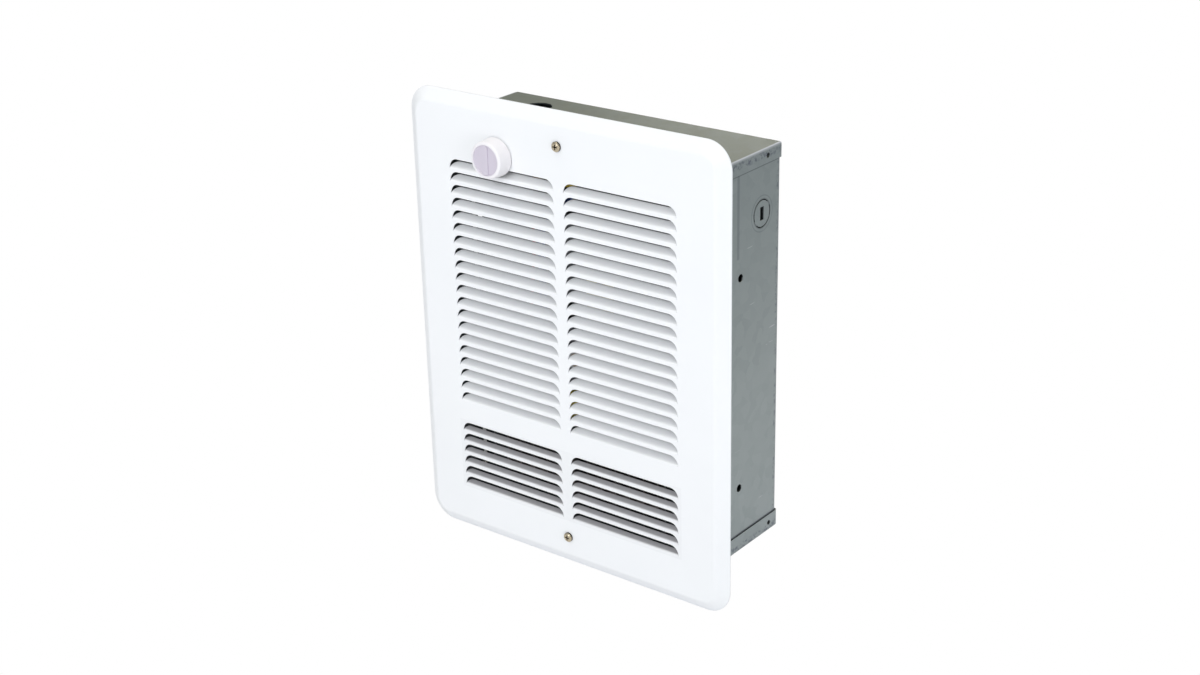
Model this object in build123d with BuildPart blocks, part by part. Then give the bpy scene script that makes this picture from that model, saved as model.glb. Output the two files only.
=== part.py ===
# Recessed electric wall heater: a louvred grille over a sheet-steel wall can that holds a fan heater.
# X is right as seen from the room, Y goes into the wall and Z is up, all in millimetres.
# The origin is the middle of the grille on the face of the wall.
import os
from math import cos, radians, sin
from build123d import *

# Sheet metal
sheet = 0.9
bend_inner = 0.6
slip = 0.1                      # gap where one sheet slides over another

# Grille
grille_width = 304.8
grille_height = 381.0
grille_corner = 21.0
grille_stand = 7.6              # face of the grille in front of the wall
bevel_width = 10.0
bevel_depth = 6.8
bevel_roll = 5.0

# Louvers: two columns of lanced flaps, intake above and outlet below
column_width = 104.3
column_gap = 9.4
shear_gap = 0.4
louver_corner = 7.6
flap_root = 1.5                 # straight part of a flap's ends, next to its bend
intake_span = 199.6             # height that the rows are spread over
intake_pitch = 10.5
intake_top = 137.2
intake_opening = 8.1
intake_flap = 7.7
intake_lean = 58.0
outlet_span = 49.7
outlet_pitch = 9.93
outlet_top = -90.1
outlet_opening = 8.0
outlet_flap = 5.4
outlet_lean = 67.0

# Wall can
can_width = 259.2
can_height = 323.4
can_depth = 101.6
can_rise = 1.2                  # middle of the can above the middle of the grille
can_bend = 2.5
top_flange = 11.6
bottom_flange = 13.9
tab_width = 18.0
tab_height = 8.0
fixing_hole = 6.4               # side holes for the nails or screws into the studs
fixing_depth = 47.0
fixing_upper = 70.0
fixing_lower = -105.5
locating_hole = 4.0
locating_depth_top = 81.5
locating_depth_bottom = 89.0
knockout_size = 22.2            # half inch trade size
knockout_depth = 75.3
knockout_height = 113.0
knockout_slit = 0.8
knockout_tie = 4.0
knockout_turn = 35.0
pry_slot_length = 10.5
pry_slot_width = 4.6
cable_entry_x = -85.0
boss_height = 4.0
boss_radius = 6.5

# Fasteners: a shank, a pan head and the clearance round the shank
screw_radius = 2.0
screw_head = 4.0
screw_head_height = 2.5
screw_clearance = 0.05
grille_screw_z = 164.6
grille_screw_length = 13.0
grille_hole_radius = 2.4

# Thermostat and its knob
knob_x = -60.0
knob_z = 146.6
knob_base = 31.0
knob_face = 29.4
knob_length = 12.5
knob_gap = 0.8
knob_wall = 1.8
knob_dish = 1.0
knob_lip = 2.5
knob_roll = 1.8
knob_grip_width = 4.6
stem_radius = 3.0
stem_fit = 0.05
stem_flat = 0.7
thermostat_width = 32.0
thermostat_height = 46.0
thermostat_thick = 20.0
thermostat_drop = 13.0          # stem below the top of the body
thermostat_y = 11.2
bushing_radius = 5.0
bushing_length = 7.0
bracket_sheet = 1.2
bracket_width = 40.0

# Blower
blower_z = -15.0
wheel_radius = 58.0
wheel_inner = 47.0
wheel_front = 48.0
wheel_back = 90.0
blade_count = 36
blade_sheet = 0.7
blade_sweep = 10.0
wheel_plate = 1.2
inlet_radius = 46.0
inlet_collar = 3.5
deck_y = 42.0
deck_side_gap = 11.6            # to the outside of the can
deck_top = 90.0
deck_bottom = -81.8
volute_start = 64.0
volute_step = 13.0
volute_sheet = 0.8
tongue_x = 22.0
chassis_screw_inset = 7.0
chassis_screw_top = 78.0
chassis_screw_bottom = -68.0

# Motor, a shaded pole type with its shaft along Y
shaft_radius = 3.0
shaft_fit = 0.05
shaft_front = 5.0
shaft_back = 92.0
stack_front = 16.5
stack_length = 16.0
stator_half_width = 30.0
pole_half_height = 23.0
stator_drop = 49.0
leg_width = 11.0
rotor_radius = 12.8
air_gap = 0.4
coil_half_width = 18.0
coil_overhang = 5.0
coil_top = -28.5
coil_bottom = -58.5
coil_gap = 0.3
bearing_radius = 6.0
bearing_length = 7.0
frame_depth = 8.0
frame_bar = 2.6
frame_height = 14.0
motor_screw_x = 25.0
motor_screw_radius = 1.75
strap_sheet = 1.5
strap_width = 26.0
strap_hole = 52.0

# Outlet duct and heating element
duct_side_gap = 13.6            # to the outside of the can
duct_top = -82.0
duct_bottom = -157.0
duct_front = 1.0
duct_back = 96.0
seal_reach = -5.5               # the duct's roof reaches into the grille, up to its blank band
seal_inset = 10.0
element_y = 28.0
element_z = -119.0
element_spread = 15.0           # half the distance between the two passes
sheath_radius = 4.0
sheath_left_inset = 18.0        # ends of the straight passes, from the duct's sides
sheath_right_inset = 30.0
fin_margin = 11.0               # end plate to the first fin, at least
fin_pitch = 14.0
fin_sheet = 0.5
fin_depth = 26.0
fin_height = 56.0
fin_fit = 0.05
end_plate_left_inset = 24.0
end_plate_right_inset = 32.0

# Limit switch on the roof of the duct
limit_x = -60.0
limit_y = 18.0
limit_radius = 9.5
limit_height = 9.0
limit_ear = 14.0

# Wiring
wire_radius = 1.4
blade_terminal = (0.8, 6.3, 8.0)
splice_y = 52.0
splice_mouth = 112.0
splice_xs = (-96.0, -76.0, -36.0)

intake_rows = int(intake_span / intake_pitch) + 1
outlet_rows = int(outlet_span / outlet_pitch) + 1
deck_half_width = can_width / 2 - deck_side_gap
chassis_screw_x = deck_half_width - chassis_screw_inset
duct_half_width = can_width / 2 - duct_side_gap
seal_half_width = duct_half_width - seal_inset
sheath_left = sheath_left_inset - duct_half_width
sheath_right = duct_half_width - sheath_right_inset
end_plate_left = end_plate_left_inset - duct_half_width
end_plate_right = duct_half_width - end_plate_right_inset
fin_count = int((end_plate_right - end_plate_left - 2 * fin_margin) / fin_pitch) + 1
can_top = can_rise + can_height / 2
can_bottom = can_rise - can_height / 2
wrap_half = can_width / 2 - sheet - slip
wrap_back = can_depth - sheet - slip
face_y = -grille_stand
stack_back = stack_front + stack_length


def room_plane(depth):
    # A plane parallel to the wall, seen from the room: its x is X, its y is Z and it faces -Y.
    return Plane.XZ.offset(-depth)


def side_plane(x):
    # A plane across the heater: its x is Y, its y is Z and it faces +X.
    return Plane.YZ.offset(x)


def drop_plane(z):
    # A level plane: its x is X, its y is Y and it faces up.
    return Plane.XY.offset(z)


def keep(piece, name):
    piece.part.label = name
    export_step(piece.part, f"parts/{name}.step")


def plain_screw(length, radius=screw_radius, head=screw_head, head_height=screw_head_height):
    # A pan head screw on the Z axis, its shank below the origin.
    with BuildPart() as screw:
        with BuildSketch(Plane.XY.offset(-length)):
            Circle(radius)
        extrude(amount=length)
        with BuildSketch(Plane.XY):
            Circle(head)
        extrude(amount=head_height)
        chamfer(screw.faces().sort_by(Axis.Z)[-1].edges(), head_height * 0.4)
    return screw.part


def cross_screw(length):
    # The same screw with a rounded head and a cross recess, for where it shows.
    with BuildPart() as screw:
        add(plain_screw(length))
        fillet(screw.faces().sort_by(Axis.Z)[-1].edges(), screw_head_height * 0.35)
        with BuildSketch(Plane.XY.offset(screw_head_height)):
            Rectangle(screw_head * 1.1, screw_head * 0.24)
            Rectangle(screw_head * 0.24, screw_head * 1.1)
        extrude(amount=-screw_head_height * 0.55, mode=Mode.SUBTRACT)
    return screw.part


def wire(points, bend):
    # A lead along straight runs joined by arcs.
    with BuildPart() as lead:
        with BuildLine() as route:
            FilletPolyline(*points, radius=bend)
        with BuildSketch(Plane(origin=route.line @ 0, z_dir=route.line % 0)):
            Circle(wire_radius)
        sweep(path=route.line)
    return lead.part


# Places of the louvers: the middle of each flap's bottom line, on the grille's face
columns = [side * (column_gap + column_width) / 2 for side in (-1, 1)]
intake_spots = [(x, intake_top - intake_opening - row * intake_pitch)
                for row in range(intake_rows) for x in columns]
outlet_spots = [(x, outlet_top - outlet_opening - row * outlet_pitch)
                for row in range(outlet_rows) for x in columns]


def louver_outline(width, height, corner):
    # Straight along the bottom, with both top corners well rounded.
    with BuildSketch() as outline:
        RectangleRounded(width, 2 * height, corner)
        Rectangle(width, height, align=(Align.CENTER, Align.MIN), mode=Mode.INTERSECT)
    return outline.sketch


def lanced_flap(length, lean):
    # The sheet turns back from its bottom line, at the origin, and leans into the pan.
    turn = radians(lean)
    outer = bend_inner + sheet
    along = Vector(sin(turn), cos(turn))
    across = Vector(cos(turn), -sin(turn))
    width = column_width - 2 * shear_gap
    foot = Vector(outer * (1 - cos(turn)), outer * sin(turn)) - along * outer * sin(turn)
    with BuildPart() as flap:
        with BuildSketch(side_plane(-width / 2)):
            with BuildLine():
                front = CenterArc((outer, 0), outer, 180, -lean)
                rise = Line(front @ 1, front @ 1 + along * (length - outer * sin(turn)))
                tip = Line(rise @ 1, rise @ 1 + across * sheet)
                back = CenterArc((outer, 0), bend_inner, 180 - lean, lean)
                Line(tip @ 1, back @ 0)
                Line(back @ 1, front @ 0)
            make_face()
        extrude(amount=width)
        leaning = Plane(origin=(0, foot.X, foot.Y), x_dir=(1, 0, 0), z_dir=(0, -cos(turn), sin(turn)))
        with BuildSketch(leaning):
            add(louver_outline(width, length, length - flap_root))
        extrude(amount=3 * sheet, both=True, mode=Mode.INTERSECT)
    return flap.part


def make_grille():
    intake = lanced_flap(intake_flap, intake_lean)
    outlet = lanced_flap(outlet_flap, outlet_lean)
    with BuildPart() as grille:
        with BuildSketch(room_plane(0)):
            RectangleRounded(grille_width, grille_height, grille_corner)
        extrude(amount=grille_stand)
        front = grille.faces().sort_by(Axis.Y)[0]
        chamfer(front.edges(), length=bevel_width, length2=bevel_depth, reference=front)
        fillet(grille.faces().sort_by(Axis.Y)[0].edges(), radius=bevel_roll)
        offset(amount=-sheet, openings=grille.faces().sort_by(Axis.Y)[-1])
        with BuildSketch(room_plane(face_y)):
            with Locations(*intake_spots):
                add(louver_outline(column_width, intake_opening, louver_corner))
            with Locations(*outlet_spots):
                add(louver_outline(column_width, outlet_opening, louver_corner))
            with Locations((knob_x, knob_z)):
                Circle(bushing_radius + 1.0)
            with Locations((0, grille_screw_z), (0, -grille_screw_z)):
                Circle(grille_hole_radius)
        extrude(amount=-3 * sheet, both=True, mode=Mode.SUBTRACT)
        with Locations(*[(x, face_y, z) for x, z in intake_spots]):
            add(intake)
        with Locations(*[(x, face_y, z) for x, z in outlet_spots]):
            add(outlet)
    return grille


def make_grille_screws():
    with BuildPart() as screws:
        for z in (grille_screw_z, -grille_screw_z):
            with Locations(Location((0, face_y, z), (90, 0, 0))):
                add(cross_screw(grille_screw_length))
    return screws


def knockout_cuts(plane, x, y):
    # A ring of slits held by ties, and a slot for the screwdriver that twists the disc out.
    with BuildPart() as cuts:
        with BuildSketch(plane):
            with Locations(Location((x, y, 0), (0, 0, knockout_turn))):
                Circle(knockout_size / 2)
                Circle(knockout_size / 2 - knockout_slit, mode=Mode.SUBTRACT)
                Rectangle(knockout_size + 2, knockout_tie, mode=Mode.SUBTRACT)
        extrude(amount=2 * sheet, both=True)
        with BuildSketch(plane):
            with Locations((x, y)):
                Rectangle(pry_slot_width, pry_slot_length)
        extrude(amount=2 * sheet, both=True)
    return cuts.part


chassis_screw_spots = [(x, z) for x in (-chassis_screw_x, chassis_screw_x)
                       for z in (chassis_screw_top, chassis_screw_bottom)]
ground_screw_spot = (40.0, 120.0)
back_knockout_spot = (cable_entry_x, 122.0)


def make_can_wrap():
    # One sheet round the back and both sides, with bosses pressed inwards for the chassis screws.
    height = can_height - 2 * (sheet + slip)
    bottom = can_bottom + sheet + slip
    with BuildPart() as wrap:
        with BuildSketch(drop_plane(bottom)):
            with Locations((0, wrap_back / 2)):
                outer = Rectangle(2 * wrap_half, wrap_back)
            fillet(outer.vertices().group_by(Axis.Y)[-1], can_bend)
            with BuildSketch(mode=Mode.PRIVATE) as hollow:
                with Locations((0, (wrap_back - sheet) / 2)):
                    inner = Rectangle(2 * (wrap_half - sheet), wrap_back - sheet)
                fillet(inner.vertices().group_by(Axis.Y)[-1], can_bend - sheet)
            add(hollow.sketch, mode=Mode.SUBTRACT)
        extrude(amount=height)
        with BuildSketch(room_plane(wrap_back - sheet / 2)):
            with Locations(*chassis_screw_spots):
                Circle(boss_radius)
        extrude(amount=boss_height + sheet / 2, taper=12)
        with BuildSketch(room_plane(wrap_back)):
            with Locations(*chassis_screw_spots):
                Circle(boss_radius - sheet)
        extrude(amount=boss_height, taper=12, mode=Mode.SUBTRACT)
        with BuildSketch(room_plane(wrap_back)):
            with Locations(*chassis_screw_spots, ground_screw_spot):
                Circle(screw_radius + screw_clearance)
        extrude(amount=2 * boss_height, both=True, mode=Mode.SUBTRACT)
        with BuildSketch(Plane.YZ):
            with Locations((fixing_depth, fixing_upper), (fixing_depth, fixing_lower)):
                Circle(fixing_hole / 2)
            with Locations((locating_depth_top, can_top - top_flange / 2),
                           (locating_depth_bottom, can_bottom + bottom_flange / 2)):
                Circle(locating_hole / 2)
        extrude(amount=can_width, both=True, mode=Mode.SUBTRACT)
        for side in (-1, 1):
            add(knockout_cuts(side_plane(side * wrap_half), knockout_depth, knockout_height), mode=Mode.SUBTRACT)
        add(knockout_cuts(room_plane(wrap_back), *back_knockout_spot), mode=Mode.SUBTRACT)
    return wrap


def make_can_cap(flange, locating_depth, open_entry):
    # The top cap: a plate with flanges folded down over the sides and the back, and a tab for the grille.
    # Z is measured from its outer face, with the can below.
    with BuildPart() as cap:
        with BuildSketch(Plane.XY):
            with Locations((0, can_depth / 2)):
                Rectangle(can_width, can_depth)
        extrude(amount=-flange)
        rear = cap.edges().filter_by(Axis.Z).group_by(Axis.Y)[-1]
        fillet(rear, can_bend)
        upper = cap.faces().sort_by(Axis.Z)[-1].edges().sort_by(Axis.Y)[1:]
        fillet(upper, 1.2)
        with BuildSketch(Plane.XY.offset(-sheet)):
            with Locations((0, (can_depth - sheet) / 2)):
                hollow = Rectangle(can_width - 2 * sheet, can_depth - sheet)
            fillet(hollow.vertices().group_by(Axis.Y)[-1], can_bend - sheet)
        extrude(amount=-flange, mode=Mode.SUBTRACT)
        with BuildSketch(Plane.XY.offset(-sheet)):
            with Locations((can_width / 2 - 4, can_depth), (4 - can_width / 2, can_depth)):
                Rectangle(0.5, 4 * sheet)
        extrude(amount=-flange, mode=Mode.SUBTRACT)
        with BuildSketch(room_plane(-sheet)):
            with Locations((0, (tab_height - sheet) / 2)):
                RectangleRounded(tab_width, tab_height + sheet, 1.5)
        extrude(amount=-sheet)
        with BuildSketch(room_plane(-sheet)):
            with Locations((0, -sheet / 2)):
                Rectangle(tab_width - 4, sheet)
        extrude(amount=-2 * sheet)
        with BuildSketch(room_plane(0)):
            with Locations((0, screw_rise(flange))):
                Circle(screw_radius + screw_clearance)
        extrude(amount=3 * sheet, mode=Mode.SUBTRACT)
        with BuildSketch(room_plane(0)):
            with Locations((0, screw_rise(flange))):
                Circle(screw_radius + 4 * screw_clearance)
        extrude(amount=-(grille_screw_length + face_y + 1), mode=Mode.SUBTRACT)
        with BuildSketch(Plane.YZ):
            with Locations((locating_depth, -flange / 2)):
                Circle(locating_hole / 2)
        extrude(amount=can_width, both=True, mode=Mode.SUBTRACT)
        if open_entry:
            with BuildSketch(Plane.XY):
                with Locations((cable_entry_x, knockout_depth)):
                    Circle(knockout_size / 2)
            extrude(amount=2 * sheet, both=True, mode=Mode.SUBTRACT)
        else:
            add(knockout_cuts(Plane.XY, cable_entry_x, knockout_depth), mode=Mode.SUBTRACT)
    return cap.part


def screw_rise(flange):
    # Height of the grille screw above the outer face of its cap.
    if flange == top_flange:
        return grille_screw_z - can_top
    return grille_screw_z + can_bottom


def make_can_top():
    with BuildPart() as top:
        with Locations((0, 0, can_top)):
            add(make_can_cap(top_flange, locating_depth_top, True))
    return top


def make_can_bottom():
    with BuildPart() as bottom:
        with Locations((0, 0, -can_bottom)):
            add(make_can_cap(bottom_flange, locating_depth_bottom, False))
        mirror(about=Plane.XY, mode=Mode.REPLACE)
    return bottom


knob_back = face_y - knob_gap
knob_front = knob_back - knob_length


def make_knob():
    # A moulded cap with a dished face, a low grip bar and a boss that fits the stem's flat.
    with BuildPart() as knob:
        with BuildSketch(room_plane(knob_back)) as base:
            with Locations((knob_x, knob_z)):
                Circle(knob_base / 2)
        with BuildSketch(room_plane(knob_front)) as face:
            with Locations((knob_x, knob_z)):
                Circle(knob_face / 2)
        loft()
        fillet(knob.faces().sort_by(Axis.Y)[0].edges(), knob_roll)
        with BuildSketch(room_plane(knob_front)):
            with Locations((knob_x, knob_z)):
                Circle(knob_face / 2 - knob_lip)
        extrude(amount=-knob_dish, taper=20, mode=Mode.SUBTRACT)
        with BuildSketch(room_plane(knob_front + knob_dish)):
            with Locations((knob_x, knob_z)):
                SlotOverall(knob_face - 2 * knob_lip - 1.0, knob_grip_width, rotation=90)
        extrude(amount=knob_dish * 0.8)
        with BuildSketch(room_plane(knob_back)):
            with Locations((knob_x, knob_z)):
                Circle(knob_base / 2 - knob_wall)
                Circle(stem_radius + 2.6, mode=Mode.SUBTRACT)
        extrude(amount=knob_length - knob_dish - knob_wall, mode=Mode.SUBTRACT)
        with BuildSketch(room_plane(knob_back)):
            with Locations((knob_x, knob_z)):
                Circle(stem_radius + 0.02)
                with Locations((0, stem_radius)):
                    Rectangle(2 * stem_radius, 2 * stem_flat - 0.04, mode=Mode.SUBTRACT)
        extrude(amount=knob_length - knob_dish - 2 * knob_wall, mode=Mode.SUBTRACT)
    return knob


stem_front = knob_front + knob_dish + 2 * knob_wall + 0.4
stem_back = thermostat_y + 4.0


def make_thermostat_stem():
    with BuildPart() as stem:
        with BuildSketch(room_plane(stem_back)):
            with Locations((knob_x, knob_z)):
                Circle(stem_radius)
        extrude(amount=stem_back - stem_front)
        with BuildSketch(room_plane(stem_front)):
            with Locations((knob_x, knob_z + stem_radius)):
                Rectangle(2 * stem_radius, 2 * stem_flat)
        extrude(amount=-(knob_back - stem_front), mode=Mode.SUBTRACT)
    return stem


thermostat_top = knob_z + thermostat_drop
thermostat_bottom = thermostat_top - thermostat_height


def make_thermostat_body():
    # A moulded block with a threaded bushing in front that the stem turns in.
    with BuildPart() as body:
        with BuildSketch(room_plane(thermostat_y + thermostat_thick)):
            with Locations((knob_x, (thermostat_top + thermostat_bottom) / 2)):
                RectangleRounded(thermostat_width, thermostat_height, 2)
        extrude(amount=thermostat_thick)
        chamfer(body.faces().sort_by(Axis.Y)[-1].edges(), 1.5)
        with BuildSketch(room_plane(thermostat_y)):
            with Locations((knob_x, knob_z)):
                Circle(bushing_radius)
        extrude(amount=bushing_length)
        with BuildSketch(room_plane(thermostat_y - bushing_length)):
            with Locations((knob_x, knob_z)):
                Circle(stem_radius + stem_fit)
        extrude(amount=-(bushing_length + 5.0), mode=Mode.SUBTRACT)
    return body


def make_thermostat_nut():
    with BuildPart() as nut:
        with BuildSketch(room_plane(thermostat_y - bracket_sheet)):
            with Locations((knob_x, knob_z)):
                RegularPolygon(7.0, 6, major_radius=False)
                Circle(bushing_radius + screw_clearance, mode=Mode.SUBTRACT)
        extrude(amount=2.4)
        chamfer(nut.faces().sort_by(Axis.Y)[0].outer_wire().edges(), 0.6)
    return nut


bimetal_x = knob_x + thermostat_width / 2


def make_bimetal_strip():
    # A sprung strip in the intake air, standing off the side of the body.
    with BuildPart() as strip:
        with BuildSketch(drop_plane(thermostat_bottom + 4)):
            with BuildLine():
                y = thermostat_y + 9.0
                FilletPolyline((bimetal_x + 0.3, y - 5), (bimetal_x + 0.3, y), (bimetal_x + 4, y),
                               (bimetal_x + 4, y + 8), radius=0.9)
            trace(line_width=0.6)
        extrude(amount=thermostat_height - 12)
    return strip


def blade_group(spots, point_down):
    # Flat blade terminals that stand along Z from the given spots.
    thick, width, length = blade_terminal
    with BuildPart() as blades:
        with BuildSketch(Plane.XY):
            Rectangle(thick, width)
        extrude(amount=-length if point_down else length)
        chamfer(blades.edges().filter_by(Axis.X).group_by(Axis.Z)[0 if point_down else -1].group_by(Axis.Y)[0], 0.2)
    with BuildPart() as group:
        with Locations(*spots):
            add(blades.part)
    return group


terminal_y = thermostat_y + 12.8
thermostat_blades = [(knob_x - 8, terminal_y, thermostat_bottom), (knob_x + 8, terminal_y, thermostat_bottom)]
shelf_z = deck_top + 1.4


def make_thermostat_bracket():
    # A folded strip from the fan deck forward to the back of the grille, slotted for the leads.
    leg = thermostat_y - bracket_sheet / 2
    foot = deck_y - bracket_sheet / 2
    with BuildPart() as bracket:
        with BuildSketch(side_plane(knob_x - bracket_width / 2)):
            with BuildLine():
                FilletPolyline((leg, thermostat_top), (leg, shelf_z), (foot, shelf_z), (foot, deck_top - 20),
                               radius=2)
            trace(line_width=bracket_sheet)
        extrude(amount=bracket_width)
        with BuildSketch(room_plane(deck_y)):
            with Locations((knob_x, knob_z)):
                Circle(bushing_radius + screw_clearance)
            with Locations((knob_x - 13, deck_top - 10), (knob_x + 13, deck_top - 10)):
                Circle(screw_radius + screw_clearance)
        extrude(amount=deck_y - 5, mode=Mode.SUBTRACT)
        with BuildSketch(drop_plane(shelf_z)):
            with Locations((knob_x, terminal_y + 1)):
                RectangleRounded(28, 14, 3)
        extrude(amount=2 * bracket_sheet, both=True, mode=Mode.SUBTRACT)
    return bracket


deck_screw_spots = [(knob_x - 13, deck_top - 10), (knob_x + 13, deck_top - 10),
                    (0, blower_z - strap_hole), (0, blower_z + strap_hole)]


def make_fan_deck():
    # The front plate of the blower, with a collared inlet that leads into the wheel.
    with BuildPart() as deck:
        with BuildSketch(room_plane(deck_y + sheet)):
            with Locations((0, (deck_top + deck_bottom) / 2)):
                RectangleRounded(2 * deck_half_width, deck_top - deck_bottom, 4)
        extrude(amount=sheet)
        with BuildSketch(room_plane(deck_y + sheet)):
            with Locations((0, blower_z)):
                Circle(inlet_radius + sheet)
        extrude(amount=-inlet_collar)
        with BuildSketch(room_plane(deck_y)):
            with Locations((0, blower_z)):
                Circle(inlet_radius)
        extrude(amount=-3 * deck_y, mode=Mode.SUBTRACT)
        with BuildSketch(room_plane(deck_y)):
            with Locations(*deck_screw_spots):
                Circle(screw_radius + screw_clearance)
            with Locations(*chassis_screw_spots):
                Circle(screw_head + 1.5)
        extrude(amount=-2 * sheet, mode=Mode.SUBTRACT)
    return deck


scroll_back_y = wrap_back - sheet - boss_height - sheet     # front face of the scroll's back plate


def make_scroll_back():
    with BuildPart() as plate:
        with BuildSketch(room_plane(scroll_back_y + sheet)):
            with Locations((0, (deck_top + deck_bottom) / 2)):
                RectangleRounded(2 * deck_half_width, deck_top - deck_bottom, 4)
            with Locations(*chassis_screw_spots):
                Circle(screw_radius + screw_clearance, mode=Mode.SUBTRACT)
        extrude(amount=sheet)
    return plate


def make_scroll_wrap():
    # A volute of three quarter turns that opens step by step, then a straight run down to the duct.
    step = volute_step
    first = volute_start
    bottom = blower_z - first
    right = step + first + 2 * step
    with BuildPart() as scroll:
        with BuildSketch(room_plane(scroll_back_y)):
            with BuildLine():
                Polyline((tongue_x, deck_bottom + 0.2), (tongue_x, bottom), (0, bottom))
                CenterArc((0, blower_z), first, 270, -90)
                CenterArc((step, blower_z), first + step, 180, -90)
                CenterArc((step, blower_z - step), first + 2 * step, 90, -90)
                Line((right, blower_z - step), (right, deck_bottom + 0.2))
            trace(line_width=volute_sheet)
        extrude(amount=scroll_back_y - deck_y - sheet)
    return scroll


def make_wheel():
    # A squirrel cage: forward-curved blades between a back plate and a front ring.
    blade_length = wheel_back - wheel_plate / 2 - wheel_front
    middle = (wheel_inner + wheel_radius) / 2
    with BuildPart() as wheel:
        with BuildSketch(room_plane(wheel_back)):
            with Locations((0, blower_z)):
                Circle(wheel_radius)
                Circle(hub_radius + 0.02, mode=Mode.SUBTRACT)
        extrude(amount=wheel_plate)
        with BuildSketch(room_plane(wheel_front + wheel_plate)):
            with Locations((0, blower_z)):
                Circle(wheel_radius)
                Circle(wheel_inner, mode=Mode.SUBTRACT)
        extrude(amount=wheel_plate)
        with BuildSketch(room_plane(wheel_back - wheel_plate / 2)):
            with Locations((0, blower_z)):
                with PolarLocations(0, blade_count):
                    with BuildLine():
                        tip = Vector(wheel_radius - 0.4, 0).rotate(Axis.Z, -blade_sweep)
                        bulge = Vector(middle, 0).rotate(Axis.Z, -blade_sweep * 0.28)
                        ThreePointArc((wheel_inner + 0.4, 0), bulge, tip)
                    trace(line_width=blade_sheet)
        extrude(amount=blade_length)
    return wheel


hub_radius = 9.0
hub_flange = 16.0


def make_wheel_hub():
    with BuildPart() as hub:
        with BuildSketch(room_plane(wheel_back)):
            with Locations((0, blower_z)):
                Circle(hub_radius)
        extrude(amount=16)
        with BuildSketch(room_plane(wheel_back - wheel_plate)):
            with Locations((0, blower_z)):
                Circle(hub_flange)
        extrude(amount=2)
        with BuildSketch(room_plane(wheel_back + 1)):
            with Locations((0, blower_z)):
                Circle(shaft_radius + 0.02)
        extrude(amount=20, mode=Mode.SUBTRACT)
        with BuildSketch(drop_plane(blower_z)):
            with Locations((0, wheel_back - 11)):
                Circle(screw_radius + screw_clearance)
        extrude(amount=hub_radius + 1, mode=Mode.SUBTRACT)
    return hub


def make_hub_set_screw():
    with BuildPart() as screw:
        with BuildSketch(drop_plane(blower_z + shaft_radius + 0.02)):
            with Locations((0, wheel_back - 11)):
                Circle(screw_radius)
        extrude(amount=hub_radius - shaft_radius - 0.4)
        with BuildSketch(drop_plane(blower_z + hub_radius)):
            with Locations((0, wheel_back - 11)):
                RegularPolygon(1.0, 6)
        extrude(amount=-2.0, mode=Mode.SUBTRACT)
    return screw


def make_motor_shaft():
    with BuildPart() as shaft:
        with BuildSketch(room_plane(shaft_back)):
            with Locations((0, blower_z)):
                Circle(shaft_radius)
        extrude(amount=shaft_back - shaft_front)
        chamfer(shaft.edges().filter_by(GeomType.CIRCLE), 0.5)
    return shaft


def make_rotor():
    with BuildPart() as rotor:
        with BuildSketch(room_plane(stack_back)):
            with Locations((0, blower_z)):
                Circle(rotor_radius)
                Circle(shaft_radius + 0.02, mode=Mode.SUBTRACT)
        extrude(amount=stack_length)
        outer = rotor.edges().filter_by(GeomType.CIRCLE).group_by(SortBy.RADIUS)[-1]
        chamfer(outer, 0.8)
    return rotor


def make_stator():
    # Laminations: a pole block round the rotor, and two legs down to the bar that carries the coil.
    bar = leg_width
    with BuildPart() as stator:
        with BuildSketch(room_plane(stack_back)):
            with Locations((0, blower_z)):
                block = Rectangle(2 * stator_half_width, 2 * pole_half_height)
            fillet(block.vertices().group_by(Axis.Y)[-1], 6)
            with Locations((0, blower_z - (pole_half_height + stator_drop) / 2)):
                Rectangle(2 * stator_half_width, stator_drop - pole_half_height)
            with Locations((0, blower_z - (pole_half_height + stator_drop - bar) / 2)):
                Rectangle(2 * (stator_half_width - leg_width), stator_drop - bar - pole_half_height,
                          mode=Mode.SUBTRACT)
            with Locations((0, blower_z)):
                Circle(rotor_radius + air_gap, mode=Mode.SUBTRACT)
            with Locations((-motor_screw_x, blower_z), (motor_screw_x, blower_z)):
                Circle(motor_screw_radius + screw_clearance, mode=Mode.SUBTRACT)
        extrude(amount=stack_length)
    return stator


def make_motor_coil():
    middle_y = stack_front + stack_length / 2
    bar_middle = blower_z - stator_drop + leg_width / 2
    with BuildPart() as coil:
        with BuildSketch(side_plane(-coil_half_width)):
            with Locations((middle_y, blower_z + (coil_top + coil_bottom) / 2)):
                RectangleRounded(stack_length + 2 * coil_overhang, coil_top - coil_bottom, 5)
            with Locations((middle_y, bar_middle)):
                Rectangle(stack_length + 2 * coil_gap, leg_width + 2 * coil_gap, mode=Mode.SUBTRACT)
        extrude(amount=2 * coil_half_width)
    return coil


def motor_frame(near, away):
    # An end frame: two feet on the laminations, a bar and a boss for the bearing.
    # It stands from the plane y = near towards the room when away is -1, or towards the wall when it is 1.
    base = room_plane(near)
    with BuildPart() as frame:
        with BuildSketch(base):
            with Locations((0, blower_z)):
                RectangleRounded(2 * stator_half_width, frame_height, 3)
        extrude(amount=-away * frame_depth)
        with BuildSketch(base):
            with Locations((0, blower_z)):
                Rectangle(2 * (rotor_radius + 3), frame_height)
        extrude(amount=-away * (frame_depth - frame_bar), mode=Mode.SUBTRACT)
        with BuildSketch(room_plane(near + away * frame_depth)):
            with Locations((0, blower_z)):
                Circle(bearing_radius + 2.2)
        extrude(amount=away * bearing_length)
        with BuildSketch(base):
            with Locations((0, blower_z)):
                Circle(bearing_radius + 0.02)
            with Locations((-motor_screw_x, blower_z), (motor_screw_x, blower_z)):
                Circle(motor_screw_radius + screw_clearance)
        extrude(amount=-away * 2 * frame_depth, mode=Mode.SUBTRACT)
    return frame


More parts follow.
